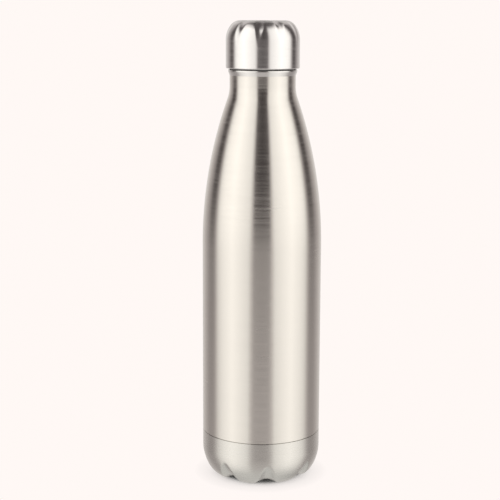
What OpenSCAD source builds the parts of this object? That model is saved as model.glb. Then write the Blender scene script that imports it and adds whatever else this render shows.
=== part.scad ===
// Vacuum-insulated steel water bottle with a screw-in stopper cap.
// Millimetres, +Z up. The origin is on the bottle's axis, at the level its feet stand on.
// An azimuth is counted from the front (-Y) towards +X.

/* [Outer body] */
// Outer radius of the straight barrel
body_r = 34.5; // [34:0.1:35.5]
// Thickness of the outer steel wall
shell_t = 0.5; // [0.4:0.05:0.6]
// Height where the barrel starts to curve in towards the neck
shoulder_z = 138; // [132:1:142]
// Radius of the one long arc that forms the shoulder
shoulder_r = 253; // [246:1:258]
// Outer radius of the neck
neck_r = 18.9; // [18.8:0.05:19.1]
// Radius of the hollow fillet between shoulder and neck
neck_fillet_r = 20; // [17:1:22]

/* [Mouth] */
// Height of the drinking lip's top
lip_z = 238.5; // [238:0.1:239]
// Outer radius of the drinking lip
lip_r = 19.75; // [19.5:0.05:20]
// Height of the drinking lip
lip_h = 3.3; // [3:0.1:3.6]
// Radius of the mouth's bore
mouth_r = 17; // [16.9:0.05:17.1]

/* [Inner liner] */
// Thickness of the inner steel wall
liner_t = 0.4; // [0.3:0.05:0.4]
// Distance from the barrel's outside to the liner's outside
liner_inset = 3.1; // [2.9:0.1:3.4]
// Height of the weld between the liner's wall and its base
liner_weld_z = 33; // [32:0.5:36]
// Height of the underside of the liner's base
liner_base_z = 24.8; // [24.6:0.1:25.5]

/* [Base] */
// Height of the seam between the outer shell and the base cup
seam_z = 27; // [26.5:0.1:28]
// Wall thickness of the base cup
cup_t = 0.5; // [0.4:0.05:0.5]
// Number of grooves round the base cup, with a foot between each pair
groove_count = 8; // [6:1:9]
// Azimuth of the first groove
groove_turn = 7; // [-20:1:20]
// Height where a groove runs out on the wall of the cup
groove_z = 10.4; // [9.4:0.2:11.4]
// Height of the arch between two feet
arch_h = 2.1; // [1.8:0.1:2.6]
// Width of the arch between two feet, at the floor
arch_w = 10; // [9:0.5:11.5]
// Height of the hollow in the middle of the underside
dish_h = 6.5; // [5:0.5:8]

/* [Cap] */
// Outer radius of the cap
cap_r = 21.1; // [21:0.1:21.5]
// Height of the cap's flat top
cap_z = 266; // [265:0.5:268]
// Height of the cap's lower rim
cap_rim_z = 239.2; // [239.1:0.05:239.4]
// Wall thickness of the cap's steel cover
cap_t = 0.5; // [0.4:0.05:0.6]
// Number of finger flutes round the cap
flute_count = 10; // [8:1:12]
// Azimuth of the first flute
flute_turn = -6; // [-18:1:18]
// Radius of a flute's round hollow
flute_r = 5; // [4:0.5:6]
// How far a flute's bottom bows out from a straight line
flute_bow = 1; // [0.8:0.05:1.1]

/* [Thread] */
// Rise of the cap in one turn
lead = 8; // [7:0.5:9]
// Number of thread starts
starts = 2; // [2:1:2]
// Outer radius of the stopper's tube
plug_r = 15.4; // [15.2:0.1:15.5]
// Radius of the stopper thread's crest
male_crest_r = 16.6; // [16.3:0.1:16.6]
// Radius of the liner thread's crest
female_crest_r = 15.9; // [15.85:0.05:16.1]

/* [Hidden] */
$fn = 96;
eps = 0.01;
arc_n = 10;
shoulder_n = 24;

// Outer shell: its lower end steps in, so that the base cup slips over it.
shoulder_x = body_r - shoulder_r;
seam_gap = 0.2;
shell_foot_z = seam_z + seam_gap;
skirt_r = body_r - cup_t - 0.1;
skirt_z = 20;
step_h = 0.8;
neck_top_z = lip_z - lip_h;

// Drinking lip, in one piece with the liner: it bends into a taper that runs down to the neck.
lip_top_edge_r = 0.35;
lip_bend_r = 1.5;
lip_bend_z = lip_z - 0.7;
lip_run = [lip_r - lip_bend_r - neck_r, lip_bend_z - neck_top_z];
lip_slope = acos(-lip_bend_r / norm(lip_run)) - atan2(lip_run[1], lip_run[0]);
bore_edge_r = 0.5;

// Inner liner and its base.
liner_r = body_r - liner_inset;
liner_neck_r = mouth_r + liner_t;
liner_corner_r = 7;

// Copper heat shield, wrapped round the liner with a narrow gap between its two edges.
foil_gap = 0.15;
foil_t = 0.15;
foil_z0 = 42;
foil_z1 = 132;
foil_turn = 352;

// Outer vacuum base, welded into the shell's skirt, and the port that it is sealed at.
vac_base_z = 20.4;
vac_base_t = 0.6;
vac_base_r = skirt_r - shell_t;
vac_corner_r = 2.4;
vac_rim_z = 25;
port_r = 1.5;
port_seat_r = 6;
port_lift = 1.2;
seal_bead_r = 4.6;

// Getter pill in its clip, on the vacuum side of the outer base.
getter_x = 16;
getter_r = 5;
getter_h = 1.6;
clip_t = 0.3;
clip_gap = 0.1;
clip_tab_w = 3;

// Base cup: the outline runs down the wall, round the foot and up into the dish.
wall_arc_r = 24;
wall_arc_z = 17.5;
foot_r = 10.5;
foot_in_r = 5;
foot_pad_w = 1.5;
wall_arc_x = body_r - wall_arc_r;
foot_x = wall_arc_x + sqrt(pow(wall_arc_r - foot_r, 2) - pow(wall_arc_z - foot_r, 2));
foot_a = atan2(foot_r - wall_arc_z, foot_x - wall_arc_x);
foot_in_x = foot_x - foot_pad_w;
dish_k = foot_in_r - dish_h;
dish_r = (pow(foot_in_x, 2) + pow(dish_k, 2) - pow(foot_in_r, 2)) / (2 * (foot_in_r - dish_k));
dish_z = dish_h - dish_r;
dish_a = atan2(foot_in_r - dish_z, foot_in_x);

// Groove between two feet: a cone down the wall, running into a round arch under the cup.
groove_slope = 48;
groove_taper = 20;
groove_tip_r = 1.8;
groove_lead_in = 3;
groove_len = 24;
groove_x = wall_arc_x + sqrt(pow(wall_arc_r, 2) - pow(wall_arc_z - groove_z, 2)) - 0.1;
arch_r = (pow(arch_w / 2, 2) + pow(arch_h, 2)) / (2 * arch_h);

// Cap dome: two arcs from the straight side to the flat top.
dome_r = 14;
dome_z = cap_z - 11;
crown_r = 6.5;
dome_x = cap_r - dome_r;
crown_z = cap_z - crown_r;
crown_x = dome_x + sqrt(pow(dome_r - crown_r, 2) - pow(crown_z - dome_z, 2));
crown_a = atan2(crown_z - dome_z, crown_x - dome_x);

// Flutes: each is cut by a bent round bar, which bows out a little less than the dome does.
flute_low_z = dome_z + 2.4;
flute_top_x = crown_x + 1.2;
flute_a = atan2(cap_z - flute_low_z, cap_r - flute_top_x);
flute_span = sqrt(pow(cap_z - flute_low_z, 2) + pow(cap_r - flute_top_x, 2));
flute_bend_r = pow(flute_span, 2) / (8 * flute_bow) + flute_bow / 2;
flute_bend_x = (cap_r + flute_top_x) / 2 - (flute_bend_r - flute_bow) * sin(flute_a);
flute_bend_z = (cap_z + flute_low_z) / 2 - (flute_bend_r - flute_bow) * cos(flute_a);

// Cap's inside: hem of the steel cover, plastic core, stopper, foam and seal.
hem_h = 1;
hem_w = 1;
core_gap = 0.1;
core_t = 1.4;
core_z = 240;
core_step_z = cap_rim_z + hem_h + 0.15;
core_plate_t = 2;
plug_bore_gap = 0.05;
plug_t = 2;
plug_z = 219;
plug_top_z = 248;
end_cap_t = 1.4;
end_cap_plug_h = 2;
foam_gap = 0.15;
seal_in_r = 16;
seal_out_r = 19.2;
seal_gap = 0.1;
seal_edge_r = 0.5;

// Threads: trapezoid ridges, a little sunk in the wall that carries them.
ridge_sink = 0.25;
ridge_step = 12;
female_root_w = 2.4;
female_crest_w = 1.2;
male_root_w = 2;
male_crest_w = 1;
thread_z = 225.3;
female_turns = 1;
male_turns = 0.95;
male_drop = 2;
run_out = 3;

// Points on an arc, from angle a0 to angle a1.
function arc(x, z, r, a0, a1, n = arc_n) = [
    for (i = [0 : n]) let (a = a0 + (a1 - a0) * i / n) [x + r * cos(a), z + r * sin(a)]
];

function reverse(list) = [for (i = [len(list) - 1 : -1 : 0]) list[i]];

// Flask outline going up: barrel of radius rb, shoulder arc, hollow fillet, neck of radius rn.
function flask_path(rb, rn, fillet, z0, z1) =
    let (
        r = rb - shoulder_x,
        fx = rn + fillet,
        fz = shoulder_z + sqrt(pow(r + fillet, 2) - pow(fx - shoulder_x, 2)),
        a = atan2(fz - shoulder_z, fx - shoulder_x)
    )
    concat(
        [[rb, z0]],
        arc(shoulder_x, shoulder_z, r, 0, a, shoulder_n),
        arc(fx, fz, fillet, 180 + a, 180),
        [[rn, z1]]
    );

// Base cup's outline going down to the axis, d inside the outer surface.
function cup_path(d, top_z) = concat(
    [[body_r - d, top_z]],
    arc(wall_arc_x, wall_arc_z, wall_arc_r - d, 0, foot_a),
    arc(foot_x, foot_r, foot_r - d, foot_a, -90),
    arc(foot_in_x, foot_in_r, foot_in_r - d, -90, dish_a - 180),
    arc(0, dish_z, dish_r + d, dish_a, 90)
);

// Cap's outline going up to the axis, d inside the outer surface.
function cap_path(d, bottom_z) = concat(
    [[cap_r - d, bottom_z]],
    arc(dome_x, dome_z, dome_r - d, 0, crown_a),
    arc(crown_x, crown_z, crown_r - d, crown_a, 90),
    [[0, cap_z - d]]
);

// Copies round the axis, the first at the given azimuth.
module around(count, turn) {
    for (i = [0 : count - 1])
        rotate([0, 0, turn - 90 + 360 * i / count])
            children();
}

// Space cut out by one groove, grown by d.
module groove(d) {
    r1 = groove_tip_r - groove_lead_in * tan(groove_taper) + d;
    translate([groove_x, 0, groove_z])
        rotate([0, -90 - groove_slope - groove_taper, 0])
            translate([-groove_tip_r, 0, -groove_lead_in])
                cylinder(r1 = r1, r2 = r1 + groove_len * tan(groove_taper), h = groove_len);
    translate([0, 0, arch_h - arch_r])
        rotate([0, 90, 0])
            cylinder(r = arch_r + d, h = body_r + 2);
}

// Solid shape of the base cup, d inside its outer surface.
module cup_form(d, top_z) {
    difference() {
        rotate_extrude()
            polygon(concat(cup_path(d, top_z), [[0, top_z]]));
        around(groove_count, groove_turn)
            groove(d);
    }
}

// Solid shape of the cap, d inside its outer surface.
module cap_form(d, bottom_z) {
    difference() {
        rotate_extrude()
            polygon(concat(cap_path(d, bottom_z), [[0, bottom_z]]));
        around(flute_count, flute_turn)
            translate([flute_bend_x, 0, flute_bend_z])
                rotate([90, 0, 0])
                    rotate_extrude(angle = 90)
                        translate([flute_bend_r + flute_r, 0])
                            circle(r = flute_r + d);
    }
}

// One helical ridge that climbs counter-clockwise. Its two ends fade into the wall.
module ridge(root_r, crest_r, root_w, crest_w, z0, turns) {
    n = ceil(360 * turns / ridge_step);
    points = [
        for (i = [0 : n])
            let (
                a = 360 * turns * i / n,
                z = z0 + lead * turns * i / n,
                k = min(1, i / run_out, (n - i) / run_out),
                r = root_r + (crest_r - root_r) * max(k, 0.12)
            )
            each [
                [root_r * cos(a), root_r * sin(a), z - root_w / 2],
                [r * cos(a), r * sin(a), z - crest_w / 2],
                [r * cos(a), r * sin(a), z + crest_w / 2],
                [root_r * cos(a), root_r * sin(a), z + root_w / 2]
            ]
    ];
    sides = [
        for (i = [0 : n - 1], j = [0 : 3])
            let (p = 4 * i + j, q = 4 * i + (j + 1) % 4)
            [p, q, q + 4, p + 4]
    ];
    ends = [[3, 2, 1, 0], [4 * n, 4 * n + 1, 4 * n + 2, 4 * n + 3]];
    faces = concat(sides, ends);
    outward = crest_r > root_r;
    polyhedron(
        points = points,
        faces = outward ? faces : [for (f = faces) reverse(f)]
    );
}

module outer_shell() {
    color("silver")
        rotate_extrude()
            polygon(concat(
                [
                    [skirt_r, skirt_z],
                    [skirt_r, shell_foot_z],
                    [body_r - 0.25, shell_foot_z]
                ],
                flask_path(body_r, neck_r, neck_fillet_r, shell_foot_z + 0.25, neck_top_z),
                reverse(flask_path(
                    body_r - shell_t,
                    neck_r - shell_t,
                    neck_fillet_r + shell_t,
                    shell_foot_z + step_h + shell_t,
                    neck_top_z
                )),
                [
                    [skirt_r - shell_t, shell_foot_z + step_h],
                    [skirt_r - shell_t, skirt_z]
                ]
            ));
}

module inner_liner() {
    color("gainsboro") {
        rotate_extrude()
            polygon(concat(
                flask_path(liner_r, liner_neck_r, neck_fillet_r, liner_weld_z, neck_top_z),
                [[neck_r, neck_top_z]],
                arc(lip_r - lip_bend_r, lip_bend_z, lip_bend_r, -lip_slope, 0),
                arc(lip_r - lip_top_edge_r, lip_z - lip_top_edge_r, lip_top_edge_r, 0, 90),
                arc(mouth_r + bore_edge_r, lip_z - bore_edge_r, bore_edge_r, 90, 180),
                reverse(flask_path(
                    liner_r - liner_t,
                    mouth_r,
                    neck_fillet_r + liner_t,
                    liner_weld_z,
                    lip_z - 2 * bore_edge_r
                ))
            ));
        for (i = [0 : starts - 1])
            rotate([0, 0, 360 * i / starts])
                ridge(
                    mouth_r + ridge_sink, female_crest_r,
                    female_root_w, female_crest_w,
                    thread_z, female_turns
                );
    }
}

module liner_base() {
    inner_r = liner_r - liner_t;
    corner_x = liner_r - liner_corner_r;
    corner_z = liner_base_z + liner_corner_r;
    color("gainsboro")
        rotate_extrude()
            polygon(concat(
                [[0, liner_base_z]],
                arc(corner_x, corner_z, liner_corner_r, -90, 0),
                [[liner_r, liner_weld_z], [inner_r, liner_weld_z]],
                arc(corner_x, corner_z, liner_corner_r - liner_t, 0, -90),
                [[0, liner_base_z + liner_t]]
            ));
}

module heat_shield() {
    color("peru")
        rotate([0, 0, 90 + (360 - foil_turn) / 2])
            rotate_extrude(angle = foil_turn)
                translate([liner_r + foil_gap, foil_z0])
                    square([foil_t, foil_z1 - foil_z0]);
}

module vacuum_base() {
    corner_x = vac_base_r - vac_corner_r;
    corner_z = vac_base_z + vac_corner_r;
    inner_z = vac_base_z + vac_base_t;
    color("silver")
        rotate_extrude()
            polygon(concat(
                [
                    [port_r, vac_base_z + port_lift],
                    [port_seat_r - port_lift, vac_base_z + port_lift],
                    [port_seat_r, vac_base_z]
                ],
                arc(corner_x, corner_z, vac_corner_r, -90, 0),
                [[vac_base_r, vac_rim_z], [vac_base_r - vac_base_t, vac_rim_z]],
                arc(corner_x, corner_z, vac_corner_r - vac_base_t, 0, -90),
                [
                    [port_seat_r + 0.25, inner_z],
                    [port_seat_r - port_lift + 0.25, inner_z + port_lift],
                    [port_r, inner_z + port_lift]
                ]
            ));
}

module port_seal() {
    seat_z = vac_base_z + port_lift;
    color("slategray")
        rotate_extrude()
            polygon(concat(
                [[0, seat_z - 1]],
                arc(seal_bead_r - 1, seat_z, 1, -90, 0, 4),
                [[port_r, seat_z], [port_r, seat_z + vac_base_t], [0, seat_z + vac_base_t + 0.3]]
            ));
}

module getter_pill() {
    color("dimgray")
        translate([getter_x, 0, vac_base_z + vac_base_t + clip_t])
            rotate_extrude()
                polygon([
                    [0, 0],
                    [getter_r - 0.3, 0],
                    [getter_r, 0.3],
                    [getter_r, getter_h - 0.3],
                    [getter_r - 0.3, getter_h],
                    [0, getter_h]
                ]);
}

module getter_clip() {
    ring_r = getter_r + clip_gap;
    color("lightgray")
        translate([getter_x, 0, vac_base_z + vac_base_t]) {
            cylinder(r = ring_r + clip_t, h = clip_t);
            difference() {
                cylinder(r = ring_r + clip_t, h = getter_h);
                translate([0, 0, -eps])
                    cylinder(r = ring_r, h = getter_h + 1);
                for (a = [45, 135])
                    rotate([0, 0, a])
                        translate([0, 0, getter_h / 2 + clip_t])
                            cube([4 * getter_r, clip_tab_w, getter_h], center = true);
            }
            for (side = [-1, 1])
                translate([side * (ring_r + 2), 0, clip_t / 2])
                    cube([4, clip_tab_w, clip_t], center = true);
        }
}

module base_cup() {
    color("darkgray")
        difference() {
            cup_form(0, seam_z);
            cup_form(cup_t, seam_z + 1);
        }
}

module seal_ring() {
    low_z = lip_z + seal_gap;
    high_z = core_z - seal_gap;
    color("whitesmoke")
        rotate_extrude()
            polygon(concat(
                [[seal_in_r, low_z]],
                arc(seal_out_r - seal_edge_r, low_z + seal_edge_r, seal_edge_r, -90, 0, 4),
                arc(seal_out_r - seal_edge_r, high_z - seal_edge_r, seal_edge_r, 0, 90, 4),
                [[seal_in_r, high_z]]
            ));
}

module cap_cover() {
    color("silver")
        difference() {
            cap_form(0, cap_rim_z);
            cap_form(cap_t, cap_rim_z + hem_h);
            translate([0, 0, cap_rim_z - 1])
                cylinder(r = cap_r - hem_w, h = hem_h + 2);
        }
}

module cap_core() {
    skin = cap_t + core_gap;
    color("darkslategray")
        difference() {
            union() {
                cap_form(skin, core_step_z);
                translate([0, 0, core_z])
                    cylinder(r = cap_r - hem_w - core_gap, h = 1);
            }
            cap_form(skin + core_t, core_z + core_plate_t);
            translate([0, 0, core_z - 1])
                cylinder(r = plug_r + plug_bore_gap, h = core_plate_t + 2);
        }
}

module stopper() {
    color("dimgray") {
        difference() {
            translate([0, 0, plug_z])
                cylinder(r = plug_r, h = plug_top_z - plug_z);
            translate([0, 0, plug_z - 1])
                cylinder(r = plug_r - plug_t, h = plug_top_z - plug_z + 2);
        }
        for (i = [0 : starts - 1])
            rotate([0, 0, 360 * i / starts])
                ridge(
                    plug_r - ridge_sink, male_crest_r,
                    male_root_w, male_crest_w,
                    thread_z - male_drop, male_turns
                );
    }
}

module stopper_end() {
    color("dimgray")
        rotate_extrude()
            polygon([
                [0, plug_z - end_cap_t],
                [plug_r - 1.2, plug_z - end_cap_t],
                [plug_r, plug_z - end_cap_t + 0.9],
                [plug_r, plug_z],
                [plug_r - plug_t - 0.05, plug_z],
                [plug_r - plug_t - 0.05, plug_z + end_cap_plug_h],
                [0, plug_z + end_cap_plug_h]
            ]);
}

module stopper_foam() {
    low_z = plug_z + end_cap_plug_h + foam_gap;
    color("ivory")
        translate([0, 0, low_z])
            cylinder(r = plug_r - plug_t - foam_gap, h = plug_top_z - low_z);
}

module dome_foam() {
    skin = cap_t + core_gap + core_t + foam_gap;
    color("ivory")
        cap_form(skin, plug_top_z + foam_gap);
}

outer_shell();
inner_liner();
liner_base();
heat_shield();
vacuum_base();
port_seal();
getter_pill();
getter_clip();
base_cup();
seal_ring();
cap_cover();
cap_core();
stopper();
stopper_end();
stopper_foam();
dome_foam();
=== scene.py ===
"""Looks of the insulated steel water bottle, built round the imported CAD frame. Metres, +Z up, front at -Y."""

import math

import bmesh
import bpy
import numpy as np
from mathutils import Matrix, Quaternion, Vector


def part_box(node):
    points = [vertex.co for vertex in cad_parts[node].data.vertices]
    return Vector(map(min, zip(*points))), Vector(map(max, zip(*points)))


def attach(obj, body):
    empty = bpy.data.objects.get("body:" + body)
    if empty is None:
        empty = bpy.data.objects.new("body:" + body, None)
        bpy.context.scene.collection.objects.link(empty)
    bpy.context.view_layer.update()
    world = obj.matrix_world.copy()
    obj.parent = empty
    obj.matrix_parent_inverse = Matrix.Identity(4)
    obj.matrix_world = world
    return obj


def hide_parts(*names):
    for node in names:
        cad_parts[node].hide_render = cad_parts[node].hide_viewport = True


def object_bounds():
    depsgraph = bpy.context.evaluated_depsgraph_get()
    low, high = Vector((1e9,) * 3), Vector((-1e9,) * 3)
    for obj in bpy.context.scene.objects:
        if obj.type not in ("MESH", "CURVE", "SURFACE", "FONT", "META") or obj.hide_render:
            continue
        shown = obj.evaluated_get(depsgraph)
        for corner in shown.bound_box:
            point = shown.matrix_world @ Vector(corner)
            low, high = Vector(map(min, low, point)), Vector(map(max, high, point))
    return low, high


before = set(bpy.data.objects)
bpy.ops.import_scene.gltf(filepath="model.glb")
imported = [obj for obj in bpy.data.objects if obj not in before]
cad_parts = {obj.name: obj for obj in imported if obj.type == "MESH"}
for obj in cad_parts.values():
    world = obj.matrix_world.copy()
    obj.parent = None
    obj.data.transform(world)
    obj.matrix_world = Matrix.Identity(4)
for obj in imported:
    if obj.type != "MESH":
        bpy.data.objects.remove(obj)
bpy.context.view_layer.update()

# ---------------------------------------------------------------------------
# Sizes. What the frame's boxes give is read from them; the rest repeats part.scad. Angles are in degrees.

MM = 0.001
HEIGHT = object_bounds()[1].z

# Outer wall: barrel, shoulder, neck, and the skirt inside the base cup.
SKIRT_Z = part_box("outer_shell")[0].z
NECK_TOP_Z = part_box("outer_shell")[1].z
BODY_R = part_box("outer_shell")[1].x
SHELL_T = 0.5 * MM
SHOULDER_Z = 138 * MM
SHOULDER_R = 253 * MM
SHOULDER_X = BODY_R - SHOULDER_R
NECK_R = 18.9 * MM
NECK_FILLET_R = 20 * MM
SEAM_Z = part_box("base_cup")[1].z
SEAM_GAP = 0.2 * MM
SEAM_EDGE_R = 0.25 * MM
SKIRT_STEP = 0.6 * MM
# Where the step inside the wall begins and ends, above the seam.
STEP_LOW, STEP_HIGH = 0.8 * MM, 1.3 * MM

# Inner wall and drinking lip.
LINER_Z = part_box("inner_liner")[0].z
LIP_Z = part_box("inner_liner")[1].z
LINER_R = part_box("inner_liner")[1].x
LINER_T = 0.4 * MM
LIP_R = 19.75 * MM
LIP_BEND_R = 1.5 * MM
LIP_BEND_DROP = 0.7 * MM
LIP_EDGE_R = 0.35 * MM
MOUTH_R = 17 * MM
MOUTH_EDGE_R = 0.5 * MM

# Base cup: its outline, the grooves down its wall and the arches that they end in.
CUP_T = 0.5 * MM
CUP_EDGE_R = 0.15 * MM
WALL_ARC_R = 24 * MM
WALL_ARC_Z = 17.5 * MM
FOOT_R = 10.5 * MM
FOOT_IN_R = 5 * MM
FOOT_PAD_W = 1.5 * MM
DISH_H = 6.5 * MM
GROOVE_COUNT = 8
GROOVE_TURN = 7
GROOVE_Z = 10.4 * MM
GROOVE_INSET = 0.1 * MM
GROOVE_SLOPE = 48
GROOVE_TAPER = 20
GROOVE_TIP_R = 1.8 * MM
GROOVE_BLEND = 3 * MM
ARCH_H = 2.1 * MM
ARCH_W = 10 * MM
CUP_SOFT = 1.8 * MM
CUP_PRESS_Z = 24 * MM

# Cap cover: its outline, its hem and the flutes of its dome.
CAP_RIM_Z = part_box("cap_cover")[0].z
CAP_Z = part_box("cap_cover")[1].z
CAP_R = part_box("cap_cover")[1].x
COVER_T = 0.5 * MM
HEM_W = 1 * MM
HEM_H = 1 * MM
DOME_R = 14 * MM
DOME_Z = CAP_Z - 11 * MM
CROWN_R = 6.5 * MM
FLUTE_COUNT = 10
FLUTE_TURN = -6
FLUTE_R = 5 * MM
FLUTE_BOW = 1.12 * MM
FLUTE_OUT = 1.2 * MM
FLUTE_UP = 2.4 * MM
FLUTE_SOFT = 0.8 * MM
CAP_PRESS_Z = CAP_Z - 16 * MM

# Stopper, its end and the seal ring.
PLUG_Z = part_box("stopper")[0].z
PLUG_TOP_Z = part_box("stopper")[1].z
PLUG_R = 15.4 * MM
PLUG_T = 2 * MM
END_LOW, END_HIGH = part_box("stopper_end")
SEAL_LOW, SEAL_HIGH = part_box("seal_ring")
SEAL_IN_R = 16 * MM
SEAL_EDGE_R = 0.5 * MM

# Threads. A width is that of a ridge at its root and at its crest.
LEAD = 8 * MM
STARTS = 2
THREAD_FADE = 35
FEMALE_CREST_R = 15.9 * MM
FEMALE_Z = 225.3 * MM
FEMALE_TURNS = 1
FEMALE_WIDTHS = (2.4 * MM, 1.2 * MM)
MALE_CREST_R = 16.6 * MM
MALE_Z = 223.3 * MM
MALE_TURNS = 0.95
MALE_WIDTHS = (2 * MM, 1 * MM)

# How finely the meshes are made: points in a full turn, and rows along the two threaded walls.
ROUND = 256
THROAT_ROWS = 60
PLUG_ROWS = 116


# ---------------------------------------------------------------------------
# Camera: the photograph's angle, aimed a little left of the bottle's middle.

CAMERA_ELEVATION = 10.18
CAMERA_DISTANCE = 0.7662
CAMERA_LENS = 94.56
CAMERA_SENSOR = 36
CAMERA_RISE = 1 * MM
CAMERA_AIM_X = -0.0069
CAMERA_ROLL = 0.2


def make_camera():
    """The camera in front of the bottle, turned to its aim."""
    data = bpy.data.cameras.new("camera")
    data.lens = CAMERA_LENS
    data.sensor_width = CAMERA_SENSOR
    camera = bpy.data.objects.new("camera", data)
    bpy.context.scene.collection.objects.link(camera)
    a = math.radians(CAMERA_ELEVATION)
    middle = Vector((0, 0, HEIGHT / 2 + CAMERA_RISE))
    camera.location = middle + CAMERA_DISTANCE * Vector((0, -math.cos(a), math.sin(a)))
    sight = middle + Vector((CAMERA_AIM_X, 0, 0)) - camera.location
    roll = Quaternion((0, 0, 1), math.radians(CAMERA_ROLL))
    camera.rotation_euler = (sight.to_track_quat("-Z", "Y") @ roll).to_euler()
    bpy.context.scene.camera = camera


# ---------------------------------------------------------------------------
# Outlines: lists of (radius, height), and the arcs they are made of.


def arc(x, z, r, a0, a1, n=12):
    """Points on an arc, angles in degrees."""
    angles = np.radians(np.linspace(a0, a1, n + 1))
    return [(x + r * math.cos(a), z + r * math.sin(a)) for a in angles]


def straight(p, q, n):
    """Points on a straight stretch, without its two ends."""
    return [(p[0] + (q[0] - p[0]) * i / n, p[1] + (q[1] - p[1]) * i / n) for i in range(1, n)]


def flask_path(rb, rn, fillet, z0, z1):
    """Barrel of radius rb, shoulder arc, hollow fillet and neck of radius rn, going up."""
    r = rb - SHOULDER_X
    fx = rn + fillet
    fz = SHOULDER_Z + math.sqrt((r + fillet) ** 2 - (fx - SHOULDER_X) ** 2)
    a = math.degrees(math.atan2(fz - SHOULDER_Z, fx - SHOULDER_X))
    return (
        [(rb, z0)]
        + straight((rb, z0), (rb, SHOULDER_Z), 16)
        + arc(SHOULDER_X, SHOULDER_Z, r, 0, a, 64)
        + arc(fx, fz, fillet, 180 + a, 180, 16)
        + [(rn, z1)]
    )


def cup_path(d):
    """The base cup's outline without grooves, d inside its surface, from its wall down to the axis."""
    wall_x = BODY_R - WALL_ARC_R
    foot_x = wall_x + math.sqrt((WALL_ARC_R - FOOT_R) ** 2 - (WALL_ARC_Z - FOOT_R) ** 2)
    foot_a = math.degrees(math.atan2(FOOT_R - WALL_ARC_Z, foot_x - wall_x))
    in_x = foot_x - FOOT_PAD_W
    k = FOOT_IN_R - DISH_H
    dish_r = (in_x**2 + k**2 - FOOT_IN_R**2) / (2 * (FOOT_IN_R - k))
    dish_z = DISH_H - dish_r
    dish_a = math.degrees(math.atan2(FOOT_IN_R - dish_z, in_x))
    return (
        arc(wall_x, WALL_ARC_Z, WALL_ARC_R - d, 0, foot_a, 48)
        + arc(foot_x, FOOT_R, FOOT_R - d, foot_a, -90, 36)
        + straight((foot_x, d), (in_x, d), 4)
        + arc(in_x, FOOT_IN_R, FOOT_IN_R - d, -90, dish_a - 180, 14)
        + arc(0, dish_z, dish_r + d, dish_a, 90, 40)[1:]
    )


def cap_arcs():
    """Middles of the arcs in the cap's outline: the dome's radius, and the crown's radius and height."""
    dome_x = CAP_R - DOME_R
    crown_z = CAP_Z - CROWN_R
    crown_x = dome_x + math.sqrt((DOME_R - CROWN_R) ** 2 - (crown_z - DOME_Z) ** 2)
    return dome_x, crown_x, crown_z


def cap_path(d, z0):
    """The cap's outline without flutes, d inside its surface, from height z0 up to the axis."""
    dome_x, crown_x, crown_z = cap_arcs()
    crown_a = math.degrees(math.atan2(crown_z - DOME_Z, crown_x - dome_x))
    return (
        [(CAP_R - d, z0)]
        + straight((CAP_R - d, z0), (CAP_R - d, DOME_Z), 12)
        + arc(dome_x, DOME_Z, DOME_R - d, 0, crown_a, 40)
        + arc(crown_x, crown_z, CROWN_R - d, crown_a, 90, 40)[1:]
        + straight((crown_x, CAP_Z - d), (0, CAP_Z - d), 30)
        + [(0, CAP_Z - d)]
    )


# ---------------------------------------------------------------------------
# Meshes

# A ring closer to the axis than this is one point. Faces that meet at a larger angle than this keep a corner.
ON_AXIS = 1e-7
CORNER_ANGLE = 40


def angles_round(segments=ROUND):
    """Evenly spaced angles in a full turn, in radians."""
    return np.linspace(0, 2 * math.pi, segments, endpoint=False)


def ring_points(outline, segments=ROUND):
    """Every outline point turned round the axis: an array of rings x segments x 3."""
    turn = angles_round(segments)
    r, z = np.array(outline).T
    x = np.outer(r, np.cos(turn))
    y = np.outer(r, np.sin(turn))
    return np.stack([x, y, np.repeat(z[:, None], segments, 1)], -1)


def ring_mesh(name, rings, closed=True):
    """A mesh over rings of points. A ring on the axis becomes one point; a closed outline joins its ends."""
    verts, index = [], []
    for ring in rings:
        if np.abs(ring[:, :2]).max() < ON_AXIS:
            index.append([len(verts)] * len(ring))
            verts.append(ring[0])
        else:
            index.append(list(range(len(verts), len(verts) + len(ring))))
            verts.extend(ring)
    faces = []
    count = len(rings)
    for i in range(count if closed else count - 1):
        low, high = index[i], index[(i + 1) % count]
        for j in range(len(low)):
            k = (j + 1) % len(low)
            face = list(dict.fromkeys([low[j], low[k], high[k], high[j]]))
            if len(face) > 2:
                faces.append(face)
    mesh = bpy.data.meshes.new(name)
    mesh.from_pydata([tuple(v) for v in verts], [], faces)
    mesh.validate()
    piece = bpy.data.objects.new(name, mesh)
    bpy.context.scene.collection.objects.link(piece)
    tidy_normals(mesh)
    return piece


def tidy_normals(mesh):
    """Outward faces, smooth but for real corners."""
    bm = bmesh.new()
    bm.from_mesh(mesh)
    bmesh.ops.recalc_face_normals(bm, faces=bm.faces)
    bm.to_mesh(mesh)
    bm.free()
    mesh.shade_smooth()
    mesh.set_sharp_from_angle(angle=math.radians(CORNER_ANGLE))


def lathe(name, outline, segments=ROUND, closed=True):
    """A round solid from its outline."""
    return ring_mesh(name, ring_points(outline, segments), closed)


def smooth_max(a, b, k):
    """The larger of a and b, rounded where they are within k of each other."""
    h = np.clip(k - np.abs(a - b), 0, None) / k
    return np.maximum(a, b) + h * h * k / 4


def outline_normals(outline):
    """Unit normals of an open outline in the (radius, height) plane, on its right when going along it."""
    p = np.array(outline)
    t = np.gradient(p, axis=0)
    n = np.stack([t[:, 1], -t[:, 0]], -1)
    return n / np.maximum(np.linalg.norm(n, axis=1, keepdims=True), 1e-12)


# Pressing moves every point in steps, each a part of the way that is left. How squarely that way goes in
# through the surface counts as no less than LEAST_SLANT. That value holds all over the cup, whose outline
# goes down and has its normals inside, and it makes the edges of the grooves long and soft.
PRESS_STEPS = 60
PRESS_PACE = 0.7
LEAST_SLANT = 0.2


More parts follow.
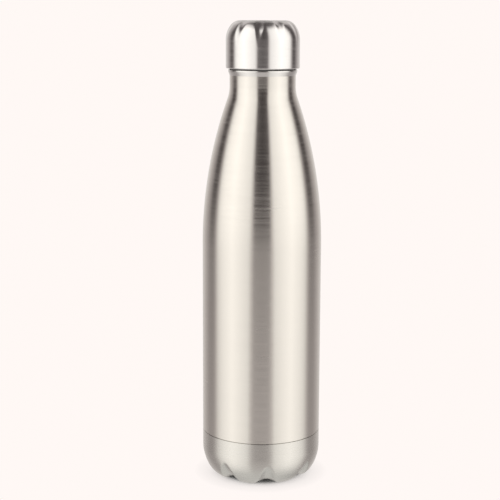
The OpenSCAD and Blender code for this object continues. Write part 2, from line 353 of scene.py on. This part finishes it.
def press(outline, centre_z, clearance, soft):
    """A round surface with hollows: each point moves towards the axis point at centre_z until clearance, its
    distance outside the hollows, allows it. soft is how far the rounding of a hollow's edge reaches."""
    points = ring_points(outline)
    flat = outline_normals(outline)
    turn = angles_round()
    normal = np.stack(
        [
            np.outer(flat[:, 0], np.cos(turn)),
            np.outer(flat[:, 0], np.sin(turn)),
            np.repeat(flat[:, 1:2], ROUND, 1),
        ],
        -1,
    )
    way = np.array([0, 0, centre_z]) - points
    way /= np.linalg.norm(way, axis=-1, keepdims=True)
    slant = np.maximum(-(way * normal).sum(-1), LEAST_SLANT)
    t = np.zeros(points.shape[:2])
    for _ in range(PRESS_STEPS):
        where = points + way * t[..., None]
        t += PRESS_PACE * np.clip(smooth_max(-t * slant, -clearance(where), soft), 0, None)
    return points + way * t[..., None]


def pressed_sheet(outline, thick, centre_z, clearance, soft, edge):
    """The rings of a sheet with hollows: its inner face, its edge and its outer face. outline gives its
    outline at a depth inside the outer face, and edge joins the two faces."""
    outer = press(outline(0), centre_z, clearance, soft)
    inner = press(outline(thick), centre_z, lambda p: clearance(p) - thick, soft)
    return np.concatenate([inner[::-1], ring_points(edge), outer])


def around(points, count, turn):
    """The points turned into the frame of the nearest of count features, whose first is at azimuth turn."""
    step = 2 * math.pi / count
    angle = np.arctan2(points[..., 1], points[..., 0]) - math.radians(turn - 90)
    angle = (angle + step / 2) % step - step / 2
    r = np.hypot(points[..., 0], points[..., 1])
    return np.stack([r * np.cos(angle), r * np.sin(angle), points[..., 2]], -1)


def cup_clearance(points):
    """Distance outside the base cup's grooves: a cone down the wall and a round arch under it."""
    p = around(points, GROOVE_COUNT, GROOVE_TURN)
    arch_r = ((ARCH_W / 2) ** 2 + ARCH_H**2) / (2 * ARCH_H)
    arch = np.hypot(p[..., 1], p[..., 2] - (ARCH_H - arch_r)) - arch_r
    a = math.radians(180 + GROOVE_SLOPE + GROOVE_TAPER)
    along = np.array([math.cos(a), 0, math.sin(a)])
    inner = np.array([math.sin(a), 0, -math.cos(a)])
    tip_x = BODY_R - WALL_ARC_R + math.sqrt(WALL_ARC_R**2 - (WALL_ARC_Z - GROOVE_Z) ** 2) - GROOVE_INSET
    tip = np.array([tip_x, 0, GROOVE_Z]) - GROOVE_TIP_R * inner
    q = p - tip
    s = (q * along).sum(-1)
    side = np.linalg.norm(q - s[..., None] * along, axis=-1)
    taper = math.radians(GROOVE_TAPER)
    cone = (side - GROOVE_TIP_R - s * math.tan(taper)) * math.cos(taper)
    return -smooth_max(-arch, -cone, GROOVE_BLEND)


def cap_clearance(points):
    """Distance outside the cap's flutes: a bent round bar that bows out a little less than the dome."""
    p = around(points, FLUTE_COUNT, FLUTE_TURN)
    _, crown_x, _ = cap_arcs()
    top = np.array([crown_x + FLUTE_OUT, 0, CAP_Z])
    low = np.array([CAP_R, 0, DOME_Z + FLUTE_UP])
    along = low - top
    span = np.linalg.norm(along)
    outer = np.array([-along[2], 0, along[0]]) / span
    bend_r = span**2 / (8 * FLUTE_BOW) + FLUTE_BOW / 2
    q = p - (top + low) / 2 + (bend_r - FLUTE_BOW) * outer
    bar = np.hypot(np.hypot(q[..., 0], q[..., 2]) - bend_r - FLUTE_R, q[..., 1]) - FLUTE_R
    return np.where(q[..., 2] > 0, bar, FLUTE_R)


# ---------------------------------------------------------------------------
# Materials

# The part of the noise's range that nearly all its values lie in.
NOISE_RANGE = (0.3, 0.7)
# Brushing: length and pitch of its fine and its broad lines, and of the haze over them.
FINE_LINES = (24 * MM, 0.9 * MM)
BROAD_LINES = (40 * MM, 2.6 * MM)
HAZE = (30 * MM, 30 * MM)
FINE_ROUGH = 0.45
LINE_SHADE = (0.98, 1.02)
# How far the roughness swings for a given wear, and how closely the crown's added roughness keeps to what
# faces up.
GLOSS_PER_WEAR = 10
CROWN_POWER = 6.0
# A quarter turn draws the gloss out across the lines.
ACROSS = 0.25
# How much the gloss of a grained material varies.
GRAIN_GLOSS = (0.85, 1.15)


def new_material(name):
    """A material with an empty node tree but for its shader: (material, nodes, links, shader)."""
    material = bpy.data.materials.new(name)
    material.use_nodes = True
    nodes, links = material.node_tree.nodes, material.node_tree.links
    return material, nodes, links, nodes["Principled BSDF"]


def math_node(nodes, links, operation, a, b=None, c=None):
    """One Math node on links or numbers; gives its output."""
    node = nodes.new("ShaderNodeMath")
    node.operation = operation
    for i, value in enumerate((a, b, c)):
        if value is None:
            continue
        if isinstance(value, (int, float)):
            node.inputs[i].default_value = value
        else:
            links.new(value, node.inputs[i])
    return node.outputs[0]


def turned_vector(nodes, links, length, pitch, slope):
    """Coordinates stretched round the axis, so that noise becomes lines turned on a lathe.
    length is how long a line is, pitch how wide, and slope how the lines follow a surface that leans."""
    place = nodes.new("ShaderNodeTexCoord").outputs["Object"]
    split = nodes.new("ShaderNodeSeparateXYZ")
    links.new(place, split.inputs[0])
    x, y, z = split.outputs
    r2 = math_node(nodes, links, "MULTIPLY_ADD", x, x, math_node(nodes, links, "MULTIPLY", y, y))
    r = math_node(nodes, links, "SQRT", r2)
    run = math_node(nodes, links, "MULTIPLY_ADD", r, slope, z)
    vector = nodes.new("ShaderNodeCombineXYZ")
    for i, (value, size) in enumerate(((x, length), (y, length), (run, pitch))):
        links.new(math_node(nodes, links, "MULTIPLY", value, 1 / size), vector.inputs[i])
    return vector.outputs[0]


def noise(nodes, links, vector, detail, rough=0.6):
    """Noise of unit size on that vector; gives its value output."""
    node = nodes.new("ShaderNodeTexNoise")
    node.inputs["Scale"].default_value = 1
    node.inputs["Detail"].default_value = detail
    node.inputs["Roughness"].default_value = rough
    links.new(vector, node.inputs["Vector"])
    return node.outputs[0]


def mostly(nodes, links, main, other):
    """Four parts of one value and one part of another."""
    return math_node(nodes, links, "MULTIPLY_ADD", other, 0.2, math_node(nodes, links, "MULTIPLY", main, 0.8))


def spread(nodes, links, value, low, high):
    """The noise's usual range mapped to low..high."""
    node = nodes.new("ShaderNodeMapRange")
    node.inputs["From Min"].default_value = NOISE_RANGE[0]
    node.inputs["From Max"].default_value = NOISE_RANGE[1]
    node.inputs["To Min"].default_value = low
    node.inputs["To Max"].default_value = high
    links.new(value, node.inputs["Value"])
    return node.outputs[0]


def tinted(nodes, links, colour, shade):
    """The colour times a shade from a node."""
    node = nodes.new("ShaderNodeVectorMath")
    node.operation = "SCALE"
    node.inputs[0].default_value = colour
    links.new(shade, node.inputs["Scale"])
    return node.outputs[0]


def bump(nodes, links, height, distance):
    """A bump of that height in metres."""
    node = nodes.new("ShaderNodeBump")
    node.inputs["Strength"].default_value = 1
    node.inputs["Distance"].default_value = distance
    links.new(height, node.inputs["Height"])
    return node.outputs[0]


def brushed_steel(name, colour, roughness, brush, stretch, wear, slope=1.0, crown=0.0):
    """Steel brushed round the axis: fine broken lines in height, shade and gloss, and a gloss that is drawn
    out across the lines. brush is how deep the lines are, stretch how far the gloss is drawn out, wear how
    much the lines differ in gloss and spread light evenly, slope how the lines follow a surface that leans,
    and crown how much rougher it is where it faces up."""
    material, nodes, links, shader = new_material(name)
    fine = noise(nodes, links, turned_vector(nodes, links, *FINE_LINES, slope), 2, FINE_ROUGH)
    broad = noise(nodes, links, turned_vector(nodes, links, *BROAD_LINES, slope), 2)
    haze = noise(nodes, links, turned_vector(nodes, links, *HAZE, slope), 2)
    lines = mostly(nodes, links, fine, broad)
    shade = spread(nodes, links, lines, *LINE_SHADE)
    links.new(tinted(nodes, links, colour, shade), shader.inputs["Base Color"])
    worn = mostly(nodes, links, lines, haze)
    uneven = GLOSS_PER_WEAR * wear * roughness
    rough = spread(nodes, links, worn, roughness - uneven, roughness + uneven)
    facing = nodes.new("ShaderNodeSeparateXYZ")
    links.new(nodes.new("ShaderNodeTexCoord").outputs["Normal"], facing.inputs[0])
    upward = math_node(nodes, links, "MAXIMUM", facing.outputs[2], 0.0)
    upward = math_node(nodes, links, "POWER", upward, CROWN_POWER)
    links.new(math_node(nodes, links, "MULTIPLY_ADD", upward, crown, rough), shader.inputs["Roughness"])
    links.new(spread(nodes, links, lines, 1, 1 - wear), shader.inputs["Metallic"])
    links.new(bump(nodes, links, lines, brush), shader.inputs["Normal"])
    shader.inputs["Anisotropic"].default_value = stretch
    shader.inputs["Anisotropic Rotation"].default_value = ACROSS
    tangent = nodes.new("ShaderNodeTangent")
    tangent.direction_type = "RADIAL"
    tangent.axis = "Z"
    links.new(tangent.outputs[0], shader.inputs["Tangent"])
    return material


def grained(name, colour, roughness, grain, depth, metallic=0.0, contrast=0.06):
    """An even material with a fine grain of that size and depth, such as moulded plastic or rolled sheet."""
    material, nodes, links, shader = new_material(name)
    value = noise(nodes, links, turned_vector(nodes, links, grain, grain, 0.0), 3)
    shade = spread(nodes, links, value, 1 - contrast, 1 + contrast)
    links.new(tinted(nodes, links, colour, shade), shader.inputs["Base Color"])
    low, high = (min(1, roughness * factor) for factor in GRAIN_GLOSS)
    links.new(spread(nodes, links, value, low, high), shader.inputs["Roughness"])
    links.new(bump(nodes, links, value, depth), shader.inputs["Normal"])
    shader.inputs["Metallic"].default_value = metallic
    return material


STEEL = {
    "barrel_steel": brushed_steel("barrel_steel", (0.68, 0.655, 0.612), 0.2, 0.005 * MM, 0.9, 0.04),
    "cup_steel": brushed_steel("cup_steel", (0.655, 0.642, 0.605), 0.26, 0.0006 * MM, 0.8, 0.02),
    "cap_steel": brushed_steel(
        "cap_steel", (0.725, 0.712, 0.7), 0.15, 0.004 * MM, 0.8, 0.045, slope=-1.0, crown=0.4
    ),
    "liner_steel": brushed_steel("liner_steel", (0.69, 0.68, 0.66), 0.2, 0.002 * MM, 0.8, 0.02),
}
# The silicone's grey is darker than the seal's own colour so that the gap under the cap's hem reads dark:
# partly its own grey, partly painted shade.
silicone = grained("silicone", (0.22, 0.22, 0.22), 0.5, 0.6 * MM, 0.01 * MM, contrast=0.03)
stopper_plastic = grained("stopper_plastic", (0.055, 0.056, 0.06), 0.42, 0.35 * MM, 0.006 * MM)
raw_steel = grained("raw_steel", (0.50, 0.49, 0.48), 0.42, 0.8 * MM, 0.004 * MM, metallic=1.0)
copper_foil = grained("copper_foil", (0.80, 0.42, 0.27), 0.22, 5 * MM, 0.03 * MM, metallic=1.0)
sealing_glass = grained("sealing_glass", (0.03, 0.035, 0.04), 0.12, 1.5 * MM, 0.01 * MM)
getter_metal = grained("getter_metal", (0.10, 0.10, 0.105), 0.8, 0.3 * MM, 0.02 * MM, metallic=0.6)
foam = grained("foam", (0.80, 0.77, 0.66), 0.9, 0.8 * MM, 0.08 * MM, contrast=0.12)


# ---------------------------------------------------------------------------
# Pieces


def finish_piece(piece, body, slot, material, *nodes):
    """The piece rides on its body, takes its material and stands for its CAD nodes."""
    piece.data.materials.clear()
    piece.data.materials.append(material)
    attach(piece, body)
    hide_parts(*nodes)


def make_barrel():
    """Outer wall: stepped skirt, rolled edge at the seam, barrel, shoulder and neck."""
    seam = SEAM_Z + SEAM_GAP
    skirt_r = BODY_R - SKIRT_STEP
    inner_fillet = NECK_FILLET_R + SHELL_T
    inside = flask_path(BODY_R - SHELL_T, NECK_R - SHELL_T, inner_fillet, seam + STEP_HIGH, NECK_TOP_Z)
    outline = (
        [(skirt_r, SKIRT_Z), (skirt_r, seam)]
        + arc(BODY_R - SEAM_EDGE_R, seam + SEAM_EDGE_R, SEAM_EDGE_R, -90, 0, 6)
        + flask_path(BODY_R, NECK_R, NECK_FILLET_R, seam + 2 * SEAM_EDGE_R, NECK_TOP_Z)
        + inside[::-1]
        + [(skirt_r - SHELL_T, seam + STEP_LOW), (skirt_r - SHELL_T, SKIRT_Z)]
    )
    finish_piece(lathe("barrel", outline), "bottle", "barrel_steel", STEEL["barrel_steel"], "outer_shell")


def make_base_cup():
    """Pressed cup: the wall, the ring of feet and the hollow underside, one sheet thick."""

    def outline(d):
        wall = straight((BODY_R - d, SEAM_Z), (BODY_R - d, WALL_ARC_Z), 8)
        return [(BODY_R - d, SEAM_Z - 2 * CUP_EDGE_R)] + wall + cup_path(d)

    edge_z = SEAM_Z - CUP_EDGE_R
    edge = arc(BODY_R - CUP_T + CUP_EDGE_R, edge_z, CUP_EDGE_R, 180, 90, 4)
    edge += arc(BODY_R - CUP_EDGE_R, edge_z, CUP_EDGE_R, 90, 0, 4)
    rings = pressed_sheet(outline, CUP_T, CUP_PRESS_Z, cup_clearance, CUP_SOFT, edge)
    piece = ring_mesh("base_cup_petals", rings, closed=False)
    finish_piece(piece, "bottle", "cup_steel", STEEL["cup_steel"], "base_cup")


def make_cap_cover():
    """Drawn steel cover: rolled hem, straight side and fluted dome."""
    hem_top = CAP_RIM_Z + HEM_H
    hem_r = HEM_W / 2
    hem = [(CAP_R - HEM_W, hem_top)] + arc(CAP_R - hem_r, CAP_RIM_Z + hem_r, hem_r, -180, 0, 14)
    rings = pressed_sheet(
        lambda d: cap_path(d, hem_top), COVER_T, CAP_PRESS_Z, cap_clearance, FLUTE_SOFT, hem
    )
    piece = ring_mesh("cap_dome", rings, closed=False)
    finish_piece(piece, "cap", "cap_steel", STEEL["cap_steel"], "cap_cover")


def thread_height(turn, z, z0, turns, root_w, crest_w):
    """Height, 0 to 1, of the helical ridges at those angles and heights."""
    height = np.zeros(np.broadcast(turn, z).shape)
    for start in range(STARTS):
        t = (turn - 2 * math.pi * start / STARTS) % (2 * math.pi)
        fade = np.clip(np.minimum(t, 2 * math.pi * turns - t) / math.radians(THREAD_FADE), 0, 1)
        off = np.abs(z - z0 - LEAD * t / (2 * math.pi))
        side = np.clip((root_w / 2 - off) / ((root_w - crest_w) / 2), 0, 1)
        height = np.maximum(height, side * side * (3 - 2 * side) * fade)
    return height


def raise_thread(rings, wall_r, crest_r, z0, turns, widths):
    """Moves the points of a round wall out or in to the thread's crest, in place."""
    height = thread_height(angles_round()[None, :], rings[:, :, 2], z0, turns, *widths)
    rings[..., :2] *= 1 + height[..., None] * (crest_r - wall_r) / wall_r


def make_liner():
    """Inner wall: the lip and its taper, the mouth's thread and the vessel down to its weld."""
    bend_z = LIP_Z - LIP_BEND_DROP
    run, rise = LIP_R - LIP_BEND_R - NECK_R, bend_z - NECK_TOP_Z
    slope = math.degrees(math.acos(-LIP_BEND_R / math.hypot(run, rise)) - math.atan2(rise, run))
    outline = (
        flask_path(LINER_R, MOUTH_R + LINER_T, NECK_FILLET_R, LINER_Z, NECK_TOP_Z)
        + [(NECK_R, NECK_TOP_Z)]
        + arc(LIP_R - LIP_BEND_R, bend_z, LIP_BEND_R, -slope, 0, 8)
        + arc(LIP_R - LIP_EDGE_R, LIP_Z - LIP_EDGE_R, LIP_EDGE_R, 0, 90, 6)
        + arc(MOUTH_R + MOUTH_EDGE_R, LIP_Z - MOUTH_EDGE_R, MOUTH_EDGE_R, 90, 180, 8)
    )
    inner_fillet = NECK_FILLET_R + LINER_T
    inside = flask_path(LINER_R - LINER_T, MOUTH_R, inner_fillet, LINER_Z, LIP_Z - 2 * MOUTH_EDGE_R)[::-1]
    throat = inside[:1] + straight(inside[0], inside[1], THROAT_ROWS)
    rings = ring_points(outline + throat + inside[1:])
    bore = rings[len(outline) :][: len(throat)]
    raise_thread(bore, MOUTH_R, FEMALE_CREST_R, FEMALE_Z, FEMALE_TURNS, FEMALE_WIDTHS)
    piece = ring_mesh("liner_and_lip", rings)
    finish_piece(piece, "bottle", "liner_steel", STEEL["liner_steel"], "inner_liner")


def make_seal_ring():
    """Silicone ring with rounded corners."""
    outer_x = SEAL_HIGH.x - SEAL_EDGE_R
    inner_edge_r = SEAL_EDGE_R / 2
    inner_x = SEAL_IN_R + inner_edge_r
    outline = (
        arc(outer_x, SEAL_LOW.z + SEAL_EDGE_R, SEAL_EDGE_R, -90, 0, 6)
        + arc(outer_x, SEAL_HIGH.z - SEAL_EDGE_R, SEAL_EDGE_R, 0, 90, 6)
        + arc(inner_x, SEAL_HIGH.z - inner_edge_r, inner_edge_r, 90, 180, 4)
        + arc(inner_x, SEAL_LOW.z + inner_edge_r, inner_edge_r, 180, 270, 4)
    )
    finish_piece(lathe("silicone_seal", outline), "seal", "silicone", silicone, "seal_ring")


def make_stopper():
    """Hollow plug with its outer thread."""
    low, top = (PLUG_R, PLUG_Z), (PLUG_R, PLUG_TOP_Z)
    wall = [low] + straight(low, top, PLUG_ROWS) + [top]
    bore = [(PLUG_R - PLUG_T, PLUG_TOP_Z), (PLUG_R - PLUG_T, PLUG_Z)]
    rings = ring_points(wall + bore)
    raise_thread(rings[: len(wall)], PLUG_R, MALE_CREST_R, MALE_Z, MALE_TURNS, MALE_WIDTHS)
    piece = ring_mesh("threaded_plug", rings)
    finish_piece(piece, "cap", "stopper_plastic", stopper_plastic, "stopper")


def make_stopper_end():
    """Disc that closes the plug: a rounded rim round a slightly sunk face, and the spigot inside the plug."""
    spigot_gap = 0.05 * MM
    sunk, crown, edge = 0.4 * MM, 0.9 * MM, 0.3 * MM
    face_in, face_out = 3 * MM, 2.6 * MM
    rim_r, spigot_r = END_HIGH.x, PLUG_R - PLUG_T - spigot_gap
    low, top = END_LOW.z, END_HIGH.z
    outline = (
        [(0, low + sunk), (rim_r - face_in, low + sunk), (rim_r - face_out, low)]
        + arc(rim_r - crown, low + crown, crown, -90, 0, 8)
        + [(rim_r, PLUG_Z), (spigot_r, PLUG_Z), (spigot_r, top - edge), (spigot_r - edge, top), (0, top)]
    )
    piece = lathe("plug_end", outline, closed=False)
    finish_piece(piece, "cap", "stopper_plastic", stopper_plastic, "stopper_end")


def dress_hidden_nodes():
    """CAD nodes whose shape is right keep it, and get their finish."""
    finishes = {
        "liner_base": STEEL["liner_steel"],
        "heat_shield": copper_foil,
        "vacuum_base": raw_steel,
        "port_seal": sealing_glass,
        "getter_pill": getter_metal,
        "getter_clip": raw_steel,
        "cap_core": stopper_plastic,
        "stopper_foam": foam,
        "dome_foam": foam,
    }
    for name, material in finishes.items():
        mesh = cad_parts[name].data
        mesh.materials.clear()
        mesh.materials.append(material)


# ---------------------------------------------------------------------------
# Stage: a pale floor, and a studio drawn on the sky. Two tall windows light the bottle's sides. It is dark in
# the gap that the camera looks through, and dark again just behind the windows. Towards the floor the
# contrast fades.

BACKDROP = (1.0, 0.94, 0.913)
FLOOR_COLOUR = (0.84, 0.87, 0.9)
LIGHT_TINT = (1.0, 0.97, 0.935)
SHADE_TINT = (1.0, 0.87, 0.865)
# Brightness by azimuth from the camera's side in degrees, the same on both sides: first level and above, then
# towards the floor.
LEVEL_BANDS = (
    (0, 0.07), (9, 0.1), (14.5, 0.15), (19.5, 0.8), (24, 1.18), (40, 1.38), (60, 1.6), (82, 1.44), (90, 1.28),
    (95, 0.98), (100, 0.5), (106, 0.16), (111, 0.09), (118, 0.13), (126, 0.35), (137, 0.56), (152, 0.78),
    (180, 0.9),
)
LOW_BANDS = (
    (0, 0.6), (12, 0.61), (18, 0.64), (22, 0.72), (27, 1.02), (40, 1.18), (60, 1.36), (80, 1.14), (92, 0.93),
    (98, 0.72), (104, 0.51), (110, 0.45), (125, 0.43), (137, 0.53), (152, 0.66), (180, 0.8),
)
# Overhead the windows lean over the bottle: brightness by how far a direction points to the side, 0 to 1.
TOP_BANDS = ((0, 0.1), (0.3, 0.13), (0.42, 0.42), (0.54, 0.85), (1, 0.8))
# Straight below it is plain, and dimmer to the sides, so that the grooves get soft dark edges.
UNDER_BANDS = ((0, 0.76), (0.3, 0.72), (0.6, 0.46), (1, 0.4))
UNDER_TINT = (0.97, 1.0, 1.01)
# From which to which elevation, in degrees, one part of the sky turns into the next one up.
UNDER_TO_LOW = (-75, -35)
LOW_TO_LEVEL = (-19, 2)
LEVEL_TO_TOP = (45, 72)
# A colour ramp holds nothing over 1, so the sky is drawn at half its strength.
SKY_STRENGTH = 2

FLOOR_R = 8
FLOOR_SEGMENTS = 96
MIRRORED_FLOOR_R = 26 * MM
PAPER_GRAIN = 60 * MM
PAPER_SHADE = (0.997, 1.003)
# How much the floor glows by itself, by distance from the axis: not at all under the bottle, and fully
# further out.
FLOOR_GLOW = ((22 * MM, 0), (26 * MM, 0.5), (31 * MM, 0.8), (40 * MM, 1))


def floor_paper():
    """Matt paper that glows like the backdrop away from the bottle, so that no horizon shows."""
    material, nodes, links, shader = new_material("floor_paper")
    value = noise(nodes, links, turned_vector(nodes, links, PAPER_GRAIN, PAPER_GRAIN, 0.0), 3)
    shade = spread(nodes, links, value, *PAPER_SHADE)
    links.new(tinted(nodes, links, FLOOR_COLOUR, shade), shader.inputs["Base Color"])
    shader.inputs["Roughness"].default_value = 1
    shader.inputs["Specular IOR Level"].default_value = 0
    glow = nodes.new("ShaderNodeEmission")
    glow.inputs["Color"].default_value = BACKDROP + (1,)
    away = nodes.new("ShaderNodeVectorMath")
    away.operation = "LENGTH"
    links.new(nodes.new("ShaderNodeTexCoord").outputs["Object"], away.inputs[0])
    furthest = FLOOR_GLOW[-1][0]
    share = math_node(nodes, links, "DIVIDE", away.outputs["Value"], furthest)
    amount = ramp_node(nodes, links, share, [(r / furthest, (glows,) * 3) for r, glows in FLOOR_GLOW])
    choose = nodes.new("ShaderNodeMixShader")
    links.new(amount, choose.inputs[0])
    links.new(shader.outputs[0], choose.inputs[1])
    links.new(glow.outputs[0], choose.inputs[2])
    links.new(choose.outputs[0], nodes["Material Output"].inputs["Surface"])
    return material


def make_floor():
    """A wide round floor. The steel mirrors only the patch under the bottle, and the lower sky around it."""
    paper = floor_paper()
    for name, r0, r1 in (("floor_patch", 0, MIRRORED_FLOOR_R), ("floor", MIRRORED_FLOOR_R, FLOOR_R)):
        floor = lathe(name, [(r0, 0), (r1, 0)], FLOOR_SEGMENTS, closed=False)
        for polygon in floor.data.polygons:
            if polygon.normal.z < 0:
                polygon.flip()
        floor.data.materials.append(paper)
        floor.visible_glossy = r0 == 0


def ramp_node(nodes, links, share, stops):
    """A colour ramp of (position, colour) stops on the share; gives its colour output."""
    node = nodes.new("ShaderNodeValToRGB")
    elements = node.color_ramp.elements
    while len(elements) < len(stops):
        elements.new(0.5)
    for element, (position, colour) in zip(elements, stops):
        element.position = position
        element.color = (*colour, 1)
    links.new(share, node.inputs[0])
    return node.outputs[0]


def band_ramp(nodes, links, share, bands, whole, shade_tint=SHADE_TINT):
    """The bands as colours over a share of the whole, tinted as shade or as light by their value."""
    stops = []
    for position, value in bands:
        tint = [d + (b - d) * min(1, value) for d, b in zip(shade_tint, LIGHT_TINT)]
        stops.append((position / whole, [value / SKY_STRENGTH * t for t in tint]))
    return ramp_node(nodes, links, share, stops)


# The colour sockets of a Mix node, which share their names with its other kinds.
MIX_A, MIX_B, MIX_RESULT = 6, 7, 2


def blend(nodes, links, height, low, high, colour_low, colour_high):
    """Colours blended over the sine of the elevation, from low to high degrees."""
    rise = nodes.new("ShaderNodeMapRange")
    rise.interpolation_type = "SMOOTHSTEP"
    rise.inputs["From Min"].default_value = math.sin(math.radians(low))
    rise.inputs["From Max"].default_value = math.sin(math.radians(high))
    links.new(height, rise.inputs["Value"])
    mixed = nodes.new("ShaderNodeMix")
    mixed.data_type = "RGBA"
    links.new(rise.outputs[0], mixed.inputs["Factor"])
    links.new(colour_low, mixed.inputs[MIX_A])
    links.new(colour_high, mixed.inputs[MIX_B])
    return mixed.outputs[MIX_RESULT]


def make_studio():
    """The sky: bands of light, and a plain backdrop where the camera sees it."""
    world = bpy.data.worlds.new("studio")
    bpy.context.scene.world = world
    world.use_nodes = True
    nodes, links = world.node_tree.nodes, world.node_tree.links
    split = nodes.new("ShaderNodeSeparateXYZ")
    links.new(nodes.new("ShaderNodeTexCoord").outputs["Generated"], split.inputs[0])
    x, y, z = split.outputs
    angle = math_node(nodes, links, "ARCTAN2", x, math_node(nodes, links, "MULTIPLY", y, -1.0))
    share = math_node(nodes, links, "MULTIPLY", math_node(nodes, links, "ABSOLUTE", angle), 1 / math.pi)
    level, low = (band_ramp(nodes, links, share, bands, 180) for bands in (LEVEL_BANDS, LOW_BANDS))
    sideways = math_node(nodes, links, "ABSOLUTE", x)
    top = band_ramp(nodes, links, sideways, TOP_BANDS, 1)
    under = band_ramp(nodes, links, sideways, UNDER_BANDS, 1, UNDER_TINT)
    sky = blend(nodes, links, z, *LOW_TO_LEVEL, low, level)
    sky = blend(nodes, links, z, *LEVEL_TO_TOP, sky, top)
    sky = blend(nodes, links, z, *UNDER_TO_LOW, under, sky)
    studio = nodes["Background"]
    links.new(sky, studio.inputs["Color"])
    studio.inputs["Strength"].default_value = SKY_STRENGTH
    backdrop = nodes.new("ShaderNodeBackground")
    backdrop.inputs["Color"].default_value = BACKDROP + (1,)
    choose = nodes.new("ShaderNodeMixShader")
    links.new(nodes.new("ShaderNodeLightPath").outputs["Is Camera Ray"], choose.inputs[0])
    links.new(studio.outputs[0], choose.inputs[1])
    links.new(backdrop.outputs[0], choose.inputs[2])
    links.new(choose.outputs[0], nodes["World Output"].inputs[0])
    bpy.context.scene.view_settings.view_transform = "Standard"


make_camera()
make_barrel()
make_base_cup()
make_liner()
make_cap_cover()
make_seal_ring()
make_stopper()
make_stopper_end()
dress_hidden_nodes()
make_floor()
make_studio()
